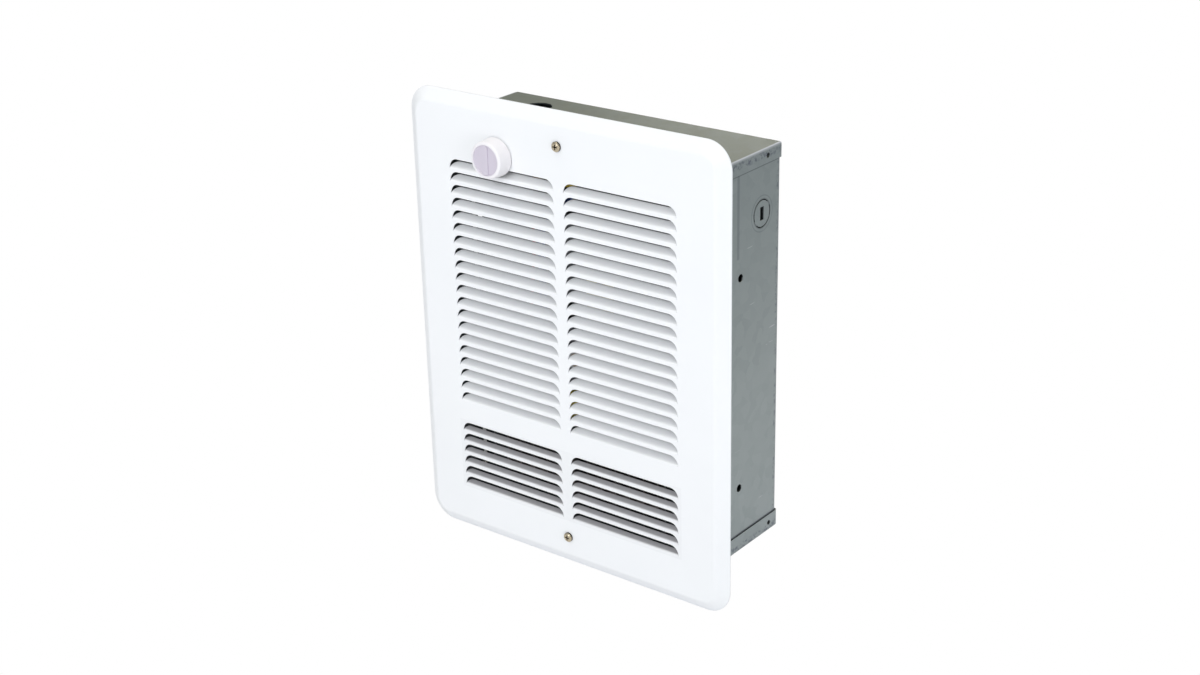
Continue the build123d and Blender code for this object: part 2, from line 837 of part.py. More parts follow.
def make_bearings():
    with BuildPart() as bearings:
        for y in (stack_front - frame_depth + bearing_length, stack_back + frame_depth):
            with BuildSketch(room_plane(y)):
                with Locations((0, blower_z)):
                    Circle(bearing_radius)
                    Circle(shaft_radius + shaft_fit, mode=Mode.SUBTRACT)
            extrude(amount=bearing_length)
    return bearings


strap_front = stack_back + frame_depth


def make_motor_strap():
    # A cross-shaped strap over the inlet that carries the motor.
    with BuildPart() as strap:
        with BuildSketch(room_plane(deck_y)):
            with Locations((0, blower_z)):
                RectangleRounded(strap_width, 2 * (strap_hole + 8), 6)
                RectangleRounded(2 * stator_half_width + 2, strap_width - 4, 5)
                Circle(bearing_radius + 2.5, mode=Mode.SUBTRACT)
            with Locations((0, blower_z - strap_hole), (0, blower_z + strap_hole)):
                Circle(screw_radius + screw_clearance, mode=Mode.SUBTRACT)
            with Locations((-motor_screw_x, blower_z), (motor_screw_x, blower_z)):
                Circle(motor_screw_radius + screw_clearance, mode=Mode.SUBTRACT)
        extrude(amount=deck_y - strap_front)
    return strap


def make_motor_screws():
    length = deck_y + 2.8 - (stack_front - frame_depth)
    with BuildPart() as screws:
        for x in (-motor_screw_x, motor_screw_x):
            with Locations(Location((x, stack_front - frame_depth, blower_z), (90, 0, 0))):
                add(plain_screw(length, motor_screw_radius, 3.2, 2.2))
    return screws


def make_motor_nuts():
    with BuildPart() as nuts:
        with BuildSketch(room_plane(deck_y + 2.4)):
            with Locations((-motor_screw_x, blower_z), (motor_screw_x, blower_z)):
                RegularPolygon(3.2, 6, major_radius=False)
                Circle(motor_screw_radius + screw_clearance, mode=Mode.SUBTRACT)
        extrude(amount=2.4)
    return nuts


def make_deck_screws():
    # Two hold the thermostat's bracket and two hold the motor's strap.
    heads = (deck_y - bracket_sheet, deck_y - bracket_sheet, strap_front, strap_front)
    with BuildPart() as screws:
        for (x, z), head_y in zip(deck_screw_spots, heads):
            with Locations(Location((x, head_y, z), (90, 0, 0))):
                add(plain_screw(4.5))
    return screws


def make_chassis_screws():
    with BuildPart() as screws:
        for x, z in chassis_screw_spots:
            with Locations(Location((x, scroll_back_y, z), (90, 0, 0))):
                add(plain_screw(5.0))
    return screws


def make_ground_screw():
    x, z = ground_screw_spot
    with BuildPart() as screw:
        with Locations(Location((x, wrap_back - sheet, z), (90, 0, 0))):
            add(plain_screw(sheet, screw_radius, 4.6, 2.4))
    return screw


element_hole_y = 14.0
lead_hole = 4.0


def make_outlet_duct():
    # A box open to the grille: air drops in through its roof from the blower.
    with BuildPart() as duct:
        with BuildSketch(room_plane(duct_back)):
            with Locations((0, (duct_top + duct_bottom) / 2)):
                Rectangle(2 * duct_half_width, duct_top - duct_bottom)
        extrude(amount=duct_back - duct_front)
        with BuildSketch(room_plane(duct_back - sheet)):
            with Locations((0, (duct_top + duct_bottom) / 2)):
                Rectangle(2 * (duct_half_width - sheet), duct_top - duct_bottom - 2 * sheet)
        extrude(amount=duct_back, mode=Mode.SUBTRACT)
        with BuildSketch(drop_plane(duct_top)):
            with Locations((0, (duct_front + seal_reach) / 2 + 1)):
                Rectangle(2 * seal_half_width, duct_front - seal_reach + 2)
        extrude(amount=-sheet)
        with BuildSketch(drop_plane(duct_top)):
            with Locations(((tongue_x + volute_right) / 2, (deck_y + sheet + scroll_back_y) / 2)):
                Rectangle(volute_right - tongue_x - volute_sheet, scroll_back_y - deck_y - sheet)
            with Locations((terminal_x, element_y), (terminal_x, element_hole_y)):
                Circle(lead_hole)
            with Locations((limit_x, limit_y)):
                Circle(limit_radius - 2)
            with Locations((limit_x - limit_ear, limit_y), (limit_x + limit_ear, limit_y)):
                Circle(screw_radius + screw_clearance)
        extrude(amount=-2 * sheet, mode=Mode.SUBTRACT)
    return duct


volute_right = volute_step + volute_start + 2 * volute_step
terminal_x = sheath_left - 7.0
pass_heights = (element_z + element_spread, element_z - element_spread)


def make_element_sheath():
    # A tubular element bent into a hairpin.
    with BuildPart() as sheath:
        with BuildLine() as route:
            start = Line((sheath_left, element_y, pass_heights[0]), (sheath_right, element_y, pass_heights[0]))
            bend = ThreePointArc(start @ 1, (sheath_right + element_spread, element_y, element_z),
                                 (sheath_right, element_y, pass_heights[1]))
            Line(bend @ 1, (sheath_left, element_y, pass_heights[1]))
        with BuildSketch(side_plane(sheath_left)):
            with Locations((element_y, pass_heights[0])):
                Circle(sheath_radius)
        sweep(path=route.line)
    return sheath


def make_element_fins():
    first = (end_plate_left + end_plate_right - (fin_count - 1) * fin_pitch) / 2
    with BuildPart() as fins:
        for number in range(fin_count):
            with BuildSketch(side_plane(first + number * fin_pitch)):
                with Locations((element_y, element_z)):
                    Rectangle(fin_depth, fin_height)
                with Locations((element_y, pass_heights[0]), (element_y, pass_heights[1])):
                    Circle(sheath_radius + fin_fit, mode=Mode.SUBTRACT)
            extrude(amount=fin_sheet)
    return fins


def make_element_brackets():
    # End plates that stand between the floor and the roof of the duct.
    height = duct_top - duct_bottom - 2 * sheet - 2 * slip
    with BuildPart() as plates:
        for x, foot in ((end_plate_left, 1), (end_plate_right - bracket_sheet, -1)):
            with BuildSketch(side_plane(x)):
                with Locations((element_y, (duct_top + duct_bottom) / 2)):
                    Rectangle(fin_depth + 8, height)
                with Locations((element_y, pass_heights[0]), (element_y, pass_heights[1])):
                    Circle(sheath_radius + fin_fit, mode=Mode.SUBTRACT)
            extrude(amount=bracket_sheet)
            for z in (duct_top - sheet - slip - bracket_sheet, duct_bottom + sheet + slip):
                with BuildSketch(drop_plane(z)):
                    with Locations((x + bracket_sheet / 2 - foot * 3, element_y)):
                        Rectangle(6 + bracket_sheet, fin_depth + 8)
                extrude(amount=bracket_sheet)
    return plates


def make_element_insulators():
    with BuildPart() as insulators:
        with BuildSketch(side_plane(sheath_left)):
            with Locations((element_y, pass_heights[0]), (element_y, pass_heights[1])):
                Circle(sheath_radius - 0.6)
        extrude(amount=-4.0)
        chamfer(insulators.faces().sort_by(Axis.X)[0:2].edges(), 0.6)
    return insulators


tab_thick = 0.8
upper_tab_top = pass_heights[0] + 7.0


def make_element_terminals():
    # A pin on each end of the element, with a tab that its lead is crimped to.
    with BuildPart() as pins:
        with BuildSketch(side_plane(sheath_left - 4.0)):
            with Locations((element_y, pass_heights[0]), (element_y, pass_heights[1])):
                Circle(1.3)
        extrude(amount=-5.0)
        with BuildSketch(side_plane(terminal_x - tab_thick / 2)):
            with Locations((element_y, pass_heights[0] + 2.5)):
                Rectangle(6.0, 9.0)
        extrude(amount=tab_thick)
        with BuildSketch(drop_plane(pass_heights[1] - tab_thick / 2)):
            with Locations((terminal_x, (element_y + element_hole_y) / 2)):
                RectangleRounded(5.0, element_y - element_hole_y + 6, 1.5)
        extrude(amount=tab_thick)
    return pins


def make_limit_switch():
    # A snap disc in a round cap, held by two ears to the roof of the duct.
    with BuildPart() as limit:
        with BuildSketch(drop_plane(duct_top)):
            with Locations((limit_x, limit_y)):
                SlotOverall(2 * limit_ear + 8, 8)
                Circle(limit_radius)
            with Locations((limit_x - limit_ear, limit_y), (limit_x + limit_ear, limit_y)):
                Circle(screw_radius + screw_clearance, mode=Mode.SUBTRACT)
        extrude(amount=0.8)
        with BuildSketch(drop_plane(duct_top + 0.8)):
            with Locations((limit_x, limit_y)):
                Circle(limit_radius - 1)
        extrude(amount=limit_height)
        chamfer(limit.faces().sort_by(Axis.Z)[-1].edges(), 0.8)
        with BuildSketch(drop_plane(duct_top)):
            with Locations((limit_x, limit_y)):
                Circle(limit_radius - 2.2)
        extrude(amount=-1.5)
    return limit


limit_head = duct_top + 0.8 + limit_height
limit_blades = [(limit_x - 5, limit_y, limit_head), (limit_x + 5, limit_y, limit_head)]


def make_limit_screws():
    with BuildPart() as screws:
        with Locations((limit_x - limit_ear, limit_y, duct_top + 0.8), (limit_x + limit_ear, limit_y, duct_top + 0.8)):
            add(plain_screw(4.0, screw_radius, 3.4, 2.0))
    return screws


blade_length = blade_terminal[2]


def make_line_lead():
    # Supply splice to the thermostat.
    x, y, z = thermostat_blades[0]
    turn_z = z - blade_length - 8
    with BuildPart() as lead:
        add(wire([(x, y, z - blade_length), (x, y, turn_z), (splice_xs[1], splice_y, turn_z),
                  (splice_xs[1], splice_y, splice_mouth)], 5))
    return lead


def make_load_lead():
    # Thermostat to the limit switch, down past the motor.
    x, y, z = thermostat_blades[1]
    low_x, low_y, low_z = limit_blades[1]
    with BuildPart() as lead:
        add(wire([(x, y, z - blade_length), (x, y, deck_top - 25), (low_x, low_y, -25),
                  (low_x, low_y, low_z + blade_length)], 30))
    return lead


def make_limit_lead():
    # Limit switch to the upper end of the element.
    x, y, z = limit_blades[0]
    arch = z + blade_length + 22
    with BuildPart() as lead:
        add(wire([(x, y, z + blade_length), (x, y, arch), (terminal_x, element_y, arch),
                  (terminal_x, element_y, upper_tab_top)], 10))
    return lead


def make_neutral_lead():
    # Lower end of the element up the left side to its splice.
    rise = splice_mouth - 10
    with BuildPart() as lead:
        add(wire([(terminal_x, element_hole_y, pass_heights[1] + tab_thick / 2), (terminal_x, element_hole_y, rise),
                  (splice_xs[0], splice_y, rise), (splice_xs[0], splice_y, splice_mouth)], 6))
    return lead


def make_motor_leads():
    # From the coil's left side up past the motor and over the fan deck to their splice.
    lead_y = stack_front - 2.5
    with BuildPart() as leads:
        for start_z, run_x in ((-60.0, splice_xs[2] + 2.0), (-68.0, splice_xs[2] - 2.0)):
            add(wire([(-coil_half_width, lead_y, start_z), (run_x, lead_y, start_z), (run_x, lead_y, deck_top - 4),
                      (run_x, splice_y, splice_mouth - 10), (run_x, splice_y, splice_mouth)], 6))
    return leads


def make_wire_connectors():
    # Twist-on caps over the splices, mouths down.
    with BuildPart() as cap:
        with BuildSketch(Plane.XZ):
            Polygon((0, 0), (6.5, 0), (6.5, 5), (4.2, 23), (0, 23), align=None)
        revolve(axis=Axis.Z)
        chamfer(cap.faces().sort_by(Axis.Z)[-1].edges(), 1.6)
    with BuildPart() as caps:
        with Locations(*[(x, splice_y, splice_mouth) for x in splice_xs]):
            add(cap.part)
    return caps


os.makedirs("parts", exist_ok=True)
keep(make_grille(), "grille")
keep(make_grille_screws(), "grille_screws")
keep(make_can_wrap(), "can_wrap")
keep(make_can_top(), "can_top")
keep(make_can_bottom(), "can_bottom")
keep(make_knob(), "thermostat_knob")
keep(make_thermostat_stem(), "thermostat_stem")
keep(make_thermostat_body(), "thermostat_body")
keep(make_thermostat_nut(), "thermostat_nut")
keep(make_bimetal_strip(), "bimetal_strip")
keep(blade_group(thermostat_blades, True), "thermostat_terminals")
keep(make_thermostat_bracket(), "thermostat_bracket")
keep(make_fan_deck(), "fan_deck")
keep(make_scroll_back(), "scroll_back")
keep(make_scroll_wrap(), "scroll_wrap")
keep(make_wheel(), "blower_wheel")
keep(make_wheel_hub(), "wheel_hub")
keep(make_hub_set_screw(), "hub_set_screw")
keep(make_motor_shaft(), "motor_shaft")
keep(make_rotor(), "motor_rotor")
keep(make_stator(), "motor_stator")
keep(make_motor_coil(), "motor_coil")
keep(motor_frame(stack_front, -1), "motor_front_frame")
keep(motor_frame(stack_back, 1), "motor_rear_frame")
keep(make_bearings(), "motor_bearings")
keep(make_motor_strap(), "motor_strap")
keep(make_motor_screws(), "motor_screws")
keep(make_motor_nuts(), "motor_nuts")
keep(make_deck_screws(), "deck_screws")
keep(make_chassis_screws(), "chassis_screws")
keep(make_ground_screw(), "ground_screw")
keep(make_outlet_duct(), "outlet_duct")
keep(make_element_sheath(), "element_sheath")
keep(make_element_fins(), "element_fins")
keep(make_element_brackets(), "element_brackets")
keep(make_element_insulators(), "element_insulators")
keep(make_element_terminals(), "element_terminals")
keep(make_limit_switch(), "limit_switch")
keep(blade_group(limit_blades, False), "limit_terminals")
keep(make_limit_screws(), "limit_screws")
keep(make_line_lead(), "line_lead")
keep(make_load_lead(), "load_lead")
keep(make_limit_lead(), "limit_lead")
keep(make_neutral_lead(), "neutral_lead")
keep(make_motor_leads(), "motor_leads")
keep(make_wire_connectors(), "wire_connectors")
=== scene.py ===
import math
import bpy
from mathutils import Matrix, Vector

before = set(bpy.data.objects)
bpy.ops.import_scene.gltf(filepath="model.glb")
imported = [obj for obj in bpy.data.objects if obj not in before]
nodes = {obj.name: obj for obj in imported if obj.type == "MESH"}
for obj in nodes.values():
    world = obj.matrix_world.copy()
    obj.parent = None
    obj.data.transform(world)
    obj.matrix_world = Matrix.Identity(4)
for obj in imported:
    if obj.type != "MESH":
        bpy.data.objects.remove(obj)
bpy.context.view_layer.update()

scene = bpy.context.scene
print("frame loaded", len(nodes), "nodes")


# Helpers for the materials

def newMaterial(name):
    material = bpy.data.materials.new(name)
    material.use_nodes = True
    tree = material.node_tree
    return material, tree, tree.nodes["Principled BSDF"]


def addNode(tree, kind, settings=None, values=None):
    node = tree.nodes.new(kind)
    for key, value in (settings or {}).items():
        setattr(node, key, value)
    for key, value in (values or {}).items():
        node.inputs[key].default_value = value
    return node


def newGroup(name, inputs, outputs):
    group = bpy.data.node_groups.new(name, "ShaderNodeTree")
    for label, kind, value in inputs:
        group.interface.new_socket(label, in_out="INPUT", socket_type=kind).default_value = value
    for label, kind in outputs:
        group.interface.new_socket(label, in_out="OUTPUT", socket_type=kind)
    return group, group.nodes.new("NodeGroupInput"), group.nodes.new("NodeGroupOutput")


def useGroup(tree, group, values=None):
    node = tree.nodes.new("ShaderNodeGroup")
    node.node_tree = group
    for key, value in (values or {}).items():
        node.inputs[key].default_value = value
    return node


def makeMottle():
    # Slow and fine unevenness of a surface, as a factor round 0.5
    group, start, end = newGroup("mottle",
                                 [("Coarse", "NodeSocketFloat", 12.0), ("Fine", "NodeSocketFloat", 220.0)],
                                 [("Slow", "NodeSocketFloat"), ("Quick", "NodeSocketFloat")])
    place = addNode(group, "ShaderNodeTexCoord")
    slow = addNode(group, "ShaderNodeTexNoise", {}, {"Detail": 3.0, "Roughness": 0.55})
    quick = addNode(group, "ShaderNodeTexNoise", {}, {"Detail": 4.0, "Roughness": 0.6})
    group.links.new(place.outputs["Object"], slow.inputs["Vector"])
    group.links.new(place.outputs["Object"], quick.inputs["Vector"])
    group.links.new(start.outputs["Coarse"], slow.inputs["Scale"])
    group.links.new(start.outputs["Fine"], quick.inputs["Scale"])
    group.links.new(slow.outputs["Fac"], end.inputs["Slow"])
    group.links.new(quick.outputs["Fac"], end.inputs["Quick"])
    return group


def makeScratches():
    # Short thin marks: noise drawn out along one direction, cut near its top
    group, start, end = newGroup("scratches", [("Cut", "NodeSocketFloat", 0.70)],
                                 [("Mask", "NodeSocketFloat")])
    place = addNode(group, "ShaderNodeTexCoord")
    masks = []
    for turn, scale in (((0.3, 0.1, 0.2), (60, 30, 420)), ((0.9, 0.2, 0.4), (60, 34, 460))):
        stretch = addNode(group, "ShaderNodeMapping", {}, {"Rotation": turn, "Scale": scale})
        noise = addNode(group, "ShaderNodeTexNoise", {}, {"Scale": 1.0, "Detail": 1.0})
        high = addNode(group, "ShaderNodeMath", {"operation": "GREATER_THAN"})
        group.links.new(place.outputs["Object"], stretch.inputs["Vector"])
        group.links.new(stretch.outputs[0], noise.inputs["Vector"])
        group.links.new(noise.outputs["Fac"], high.inputs[0])
        group.links.new(start.outputs["Cut"], high.inputs[1])
        masks.append(high)
    most = addNode(group, "ShaderNodeMath", {"operation": "MAXIMUM"})
    group.links.new(masks[0].outputs[0], most.inputs[0])
    group.links.new(masks[1].outputs[0], most.inputs[1])
    group.links.new(most.outputs[0], end.inputs["Mask"])
    return group


def makeSpangle():
    # The faint crystal pattern of hot-dip galvanising
    group, start, end = newGroup("spangle", [("Size", "NodeSocketFloat", 90.0)],
                                 [("Tone", "NodeSocketFloat"), ("Grain", "NodeSocketFloat")])
    place = addNode(group, "ShaderNodeTexCoord")
    warp = addNode(group, "ShaderNodeTexNoise", {}, {"Scale": 60.0, "Detail": 2.0})
    mixed = addNode(group, "ShaderNodeMix", {"data_type": "RGBA"}, {"Factor": 0.012})
    cells = addNode(group, "ShaderNodeTexVoronoi")
    tone = addNode(group, "ShaderNodeSeparateColor")
    fine = addNode(group, "ShaderNodeTexNoise", {}, {"Scale": 900.0, "Detail": 3.0})
    group.links.new(place.outputs["Object"], warp.inputs["Vector"])
    group.links.new(place.outputs["Object"], mixed.inputs[6])
    group.links.new(warp.outputs["Color"], mixed.inputs[7])
    group.links.new(mixed.outputs[2], cells.inputs["Vector"])
    group.links.new(start.outputs["Size"], cells.inputs["Scale"])
    group.links.new(cells.outputs["Color"], tone.inputs[0])
    group.links.new(place.outputs["Object"], fine.inputs["Vector"])
    group.links.new(tone.outputs[0], end.inputs["Tone"])
    group.links.new(fine.outputs["Fac"], end.inputs["Grain"])
    return group


mottle = makeMottle()
scratches = makeScratches()
spangle = makeSpangle()
print("shared groups ready")


def mixTones(tree, factor, low, high):
    node = addNode(tree, "ShaderNodeMix", {"data_type": "RGBA"}, {6: (*low, 1), 7: (*high, 1)})
    tree.links.new(factor, node.inputs["Factor"])
    return node


def spread(tree, factor, low, high):
    node = addNode(tree, "ShaderNodeMapRange", {},
                   {"From Min": 0.25, "From Max": 0.75, "To Min": low, "To Max": high})
    tree.links.new(factor, node.inputs["Value"])
    return node.outputs[0]


def bumped(tree, shader, height, strength, distance):
    bump = addNode(tree, "ShaderNodeBump", {}, {"Strength": strength, "Distance": distance})
    tree.links.new(height, bump.inputs["Height"])
    tree.links.new(bump.outputs[0], shader.inputs["Normal"])


def step(tree, source, low, high):
    # 0 at low and 1 at high, whichever is the greater
    node = addNode(tree, "ShaderNodeMapRange", {}, {"From Min": low, "From Max": high})
    tree.links.new(source, node.inputs["Value"])
    return node.outputs[0]


def times(tree, *factors):
    product = factors[0]
    for factor in factors[1:]:
        node = addNode(tree, "ShaderNodeMath", {"operation": "MULTIPLY"})
        tree.links.new(product, node.inputs[0])
        tree.links.new(factor, node.inputs[1])
        product = node.outputs[0]
    return product


def absolute(tree, source):
    node = addNode(tree, "ShaderNodeMath", {"operation": "ABSOLUTE"})
    tree.links.new(source, node.inputs[0])
    return node.outputs[0]


def placeOf(tree):
    # A point in the part's frame, its depth, its height and its distance from the middle plane
    place = addNode(tree, "ShaderNodeTexCoord")
    axes = addNode(tree, "ShaderNodeSeparateXYZ")
    tree.links.new(place.outputs["Object"], axes.inputs[0])
    return place.outputs["Object"], axes.outputs["Y"], axes.outputs["Z"], absolute(tree, axes.outputs["X"])


def facingOf(tree):
    faces = addNode(tree, "ShaderNodeNewGeometry")
    facing = addNode(tree, "ShaderNodeSeparateXYZ")
    tree.links.new(faces.outputs["Normal"], facing.inputs[0])
    return facing.outputs


def distanceTo(tree, place, kept, middle):
    # How far a point is from the middle, once it is flattened to the axes that are kept
    flat = addNode(tree, "ShaderNodeVectorMath", {"operation": "MULTIPLY"}, {1: kept})
    away = addNode(tree, "ShaderNodeVectorMath", {"operation": "DISTANCE"}, {1: middle})
    tree.links.new(place, flat.inputs[0])
    tree.links.new(flat.outputs[0], away.inputs[0])
    return away.outputs["Value"]


def tint(tree, shader, mask, shade, blend="MULTIPLY"):
    # Puts a shade over the base colour where the mask is 1
    painted = shader.inputs["Base Color"].links[0].from_socket
    node = addNode(tree, "ShaderNodeMix", {"data_type": "RGBA", "blend_type": blend}, {7: (*shade, 1)})
    tree.links.new(mask, node.inputs["Factor"])
    tree.links.new(painted, node.inputs[6])
    tree.links.new(node.outputs[2], shader.inputs["Base Color"])


def inwardMask(tree, middle):
    # 1 on the faces that look towards the middle, which are the inside ones
    place = addNode(tree, "ShaderNodeNewGeometry")
    away = addNode(tree, "ShaderNodeVectorMath", {"operation": "SUBTRACT"}, {1: middle})
    turned = addNode(tree, "ShaderNodeVectorMath", {"operation": "DOT_PRODUCT"})
    inside = addNode(tree, "ShaderNodeMath", {"operation": "LESS_THAN"}, {1: 0.0})
    tree.links.new(place.outputs["Position"], away.inputs[0])
    tree.links.new(away.outputs[0], turned.inputs[0])
    tree.links.new(place.outputs["Normal"], turned.inputs[1])
    tree.links.new(turned.outputs["Value"], inside.inputs[0])
    return inside.outputs[0]


def surface(name, settings):
    # A plain solid finish: two tones over a slow mottle, roughness and bump over a quick one
    material, tree, shader = newMaterial(name)
    field = useGroup(tree, mottle, {"Coarse": settings.get("coarse", 18.0),
                                    "Fine": settings.get("fine", 400.0)})
    tones = mixTones(tree, field.outputs["Slow"], settings["low"], settings["high"])
    tree.links.new(tones.outputs[2], shader.inputs["Base Color"])
    rough = settings["rough"]
    tree.links.new(spread(tree, field.outputs["Quick"], rough * 0.85, rough * 1.15),
                   shader.inputs["Roughness"])
    shader.inputs["Metallic"].default_value = settings.get("metal", 0.0)
    shader.inputs["Coat Weight"].default_value = settings.get("coat", 0.0)
    bumped(tree, shader, field.outputs["Quick"], settings.get("bump", 0.2), settings.get("depth", 0.0002))
    return tree, shader


def dress(name, *wanted):
    material = bpy.data.materials[name]
    for node in wanted:
        mesh = nodes[node].data
        for index in range(len(mesh.materials)):
            mesh.materials[index] = material


# Powder coat on the grille

powder = {"low": (0.80, 0.81, 0.825), "high": (0.85, 0.858, 0.868), "rough": 0.36, "coarse": 9.0,
          "fine": 700.0, "bump": 0.10, "depth": 0.00012, "coat": 0.12}
# Painted shade: the outlet's flaps are greyed just behind the face, as in the photo, standing in for the
# shade deep in the louvers
outletPaintedShade = {"top": -0.088, "bottom": -0.150, "side": 0.112, "face": -0.0077, "deep": -0.0064,
               "shade": (0.50, 0.485, 0.49)}
# A guess: painted shade darkens the back within the can's outline, so that the gaps read dark as in the
# photo
hiddenBackPaintedShade = {"side": 0.127, "height": 0.158, "turned": (0.25, 0.35), "shade": (0.28, 0.29, 0.30)}
softEdge = 0.0002
tree, shader = surface("powderCoat", powder)
deep, up, width = placeOf(tree)[1:]
# Painted shade deep in the outlet's flaps
mask = times(tree, step(tree, deep, outletPaintedShade["face"], outletPaintedShade["deep"]),
             step(tree, up, outletPaintedShade["top"] + softEdge, outletPaintedShade["top"] - softEdge),
             step(tree, up, outletPaintedShade["bottom"] - softEdge, outletPaintedShade["bottom"] + softEdge),
             step(tree, width, outletPaintedShade["side"] + softEdge, outletPaintedShade["side"] - softEdge))
tint(tree, shader, mask, outletPaintedShade["shade"])
# Painted shade on the back faces within the can's outline
mask = times(tree, step(tree, facingOf(tree)["Y"], *hiddenBackPaintedShade["turned"]),
             step(tree, width, hiddenBackPaintedShade["side"] + softEdge, hiddenBackPaintedShade["side"] - softEdge),
             step(tree, absolute(tree, up), hiddenBackPaintedShade["height"] + softEdge,
                  hiddenBackPaintedShade["height"] - softEdge))
tint(tree, shader, mask, hiddenBackPaintedShade["shade"])
dress("powderCoat", "grille")

# Galvanised sheet of the can

sheetMetal = {"low": (0.255, 0.29, 0.285), "high": (0.385, 0.415, 0.41), "metal": 0.5, "rough": 0.46,
              "mark": (0.52, 0.53, 0.54), "inside": (0.26, 0.27, 0.28), "upFacingPaintedReflection": (0.80, 0.74, 0.56),
              "upper": (0.80, 0.82, 0.825), "lowerPaintedLight": (1.12, 1.12, 1.13), "overlap": 0.02,
              "crystals": 110.0, "crystalShare": 0.35, "coarse": 7.0, "fine": 260.0, "cut": 0.79,
              "upright": (0.6, 0.5), "facesUp": (0.5, 0.9), "grime": 330.0, "spots": (0.50, 0.60)}
canShape = {"middle": (0, 0.045, 0.0012), "top": 0.1629, "knockout": (0, 0.0753, 0.1130),
            "sideSkin": (0.1282, 0.1285), "fade": 0.001}


def galvanised(name, settings):
    material, tree, shader = newMaterial(name)
    cells = useGroup(tree, spangle, {"Size": settings["crystals"]})
    field = useGroup(tree, mottle, {"Coarse": settings["coarse"], "Fine": settings["fine"]})
    marks = useGroup(tree, scratches, {"Cut": settings["cut"]})
    share = settings["crystalShare"]
    blend = addNode(tree, "ShaderNodeMath", {"operation": "MULTIPLY_ADD"}, {1: share})
    slow = addNode(tree, "ShaderNodeMath", {"operation": "MULTIPLY"}, {1: 1 - share})
    tree.links.new(cells.outputs["Tone"], blend.inputs[0])
    tree.links.new(field.outputs["Slow"], slow.inputs[0])
    tree.links.new(slow.outputs[0], blend.inputs[2])
    tones = mixTones(tree, blend.outputs[0], settings["low"], settings["high"])
    tree.links.new(tones.outputs[2], shader.inputs["Base Color"])
    # The marks are drawn out along level lines, so they belong on upright faces only
    upright = step(tree, absolute(tree, facingOf(tree)["Z"]), *settings["upright"])
    tint(tree, shader, times(tree, marks.outputs["Mask"], upright), settings["mark"], "MIX")
    rough = settings["rough"]
    tree.links.new(spread(tree, blend.outputs[0], rough * 0.82, rough * 1.15), shader.inputs["Roughness"])
    shader.inputs["Metallic"].default_value = settings["metal"]
    bumped(tree, shader, cells.outputs["Grain"], 0.08, 0.0002)
    return tree, shader


def agedCanWithPaintedLight(name, marks):
    # Painted light and shade on the can: darker towards its top, lighter towards its bottom and a painted
    # olive reflection where it faces up, as in the photo
    # Its inside is darkened by guess, as painted shade
    tree, shader = galvanised(name, sheetMetal)
    place, deep, up, width = placeOf(tree)
    overlap, top = sheetMetal["overlap"], canShape["top"]
    # Painted shade towards the top and painted light towards the bottom
    tint(tree, shader, step(tree, up, -overlap, top), sheetMetal["upper"])
    tint(tree, shader, step(tree, up, overlap, -top), sheetMetal["lowerPaintedLight"])
    # Painted warm reflection where the sheet faces up
    tint(tree, shader, step(tree, facingOf(tree)["Z"], *sheetMetal["facesUp"]), sheetMetal["upFacingPaintedReflection"])
    grime = addNode(tree, "ShaderNodeTexNoise", {},
                    {"Scale": sheetMetal["grime"], "Detail": 3.0, "Roughness": 0.7})
    tree.links.new(place, grime.inputs["Vector"])
    spots = step(tree, grime.outputs["Fac"], *sheetMetal["spots"])
    measures = {"up": up, "deep": deep, "width": width,
                "ring": distanceTo(tree, place, (0, 1, 1), canShape["knockout"])}
    for mark in marks:
        value = measures[mark["along"]]
        middle, half, soft = mark["at"], mark["half"], mark["soft"]
        band = times(tree, step(tree, value, middle - half - soft, middle - half),
                     step(tree, value, middle + half + soft, middle + half))
        if mark.get("side"):
            band = times(tree, band, step(tree, width, *canShape["sideSkin"]))
        if mark.get("over"):
            band = times(tree, band, step(tree, up, mark["over"], mark["over"] + canShape["fade"]))
        if mark.get("spotted"):
            band = times(tree, band, spots)
        tint(tree, shader, band, mark["shade"], mark.get("blend", "MULTIPLY"))
    # Painted shade on the faces that look inwards
    tint(tree, shader, inwardMask(tree, canShape["middle"]), sheetMetal["inside"])
    dress(name, name)


flangeShadowAndGrime, paintedFoldHighlight = (0.45, 0.45, 0.50), (0.66, 0.67, 0.70)
# Painted shadow and grime under the caps' flanges, an upright line, wear at the rear bend, two rings, the
# inner one painted shade, and a bluer front edge
agedCanWithPaintedLight("can_wrap", [
    # Painted shadow and grime under the caps' flanges
    {"along": "up", "at": 0.1507, "half": 0.0003, "soft": 0.0006, "shade": flangeShadowAndGrime},
    {"along": "up", "at": -0.1460, "half": 0.0003, "soft": 0.0006, "shade": flangeShadowAndGrime},
    {"along": "deep", "at": 0.0435, "half": 0.0008, "soft": 0.0014, "shade": (0.72, 0.72, 0.76),
     "side": True, "over": 0.085},
    {"along": "deep", "at": 0.0965, "half": 0.0006, "soft": 0.0012, "shade": (0.60, 0.60, 0.66),
     "side": True, "spotted": True},
    # Painted shade at the edge of the recessed knockout disc
    {"along": "ring", "at": 0.0111, "half": 0.0004, "soft": 0.0006, "shade": (0.60, 0.60, 0.62),
     "side": True},
    {"along": "ring", "at": 0.0141, "half": 0.0002, "soft": 0.0005, "shade": (0.78, 0.78, 0.80),
     "side": True},
    {"along": "deep", "at": 0.004, "half": 0.003, "soft": 0.004, "shade": (0.88, 0.88, 0.98), "side": True}])
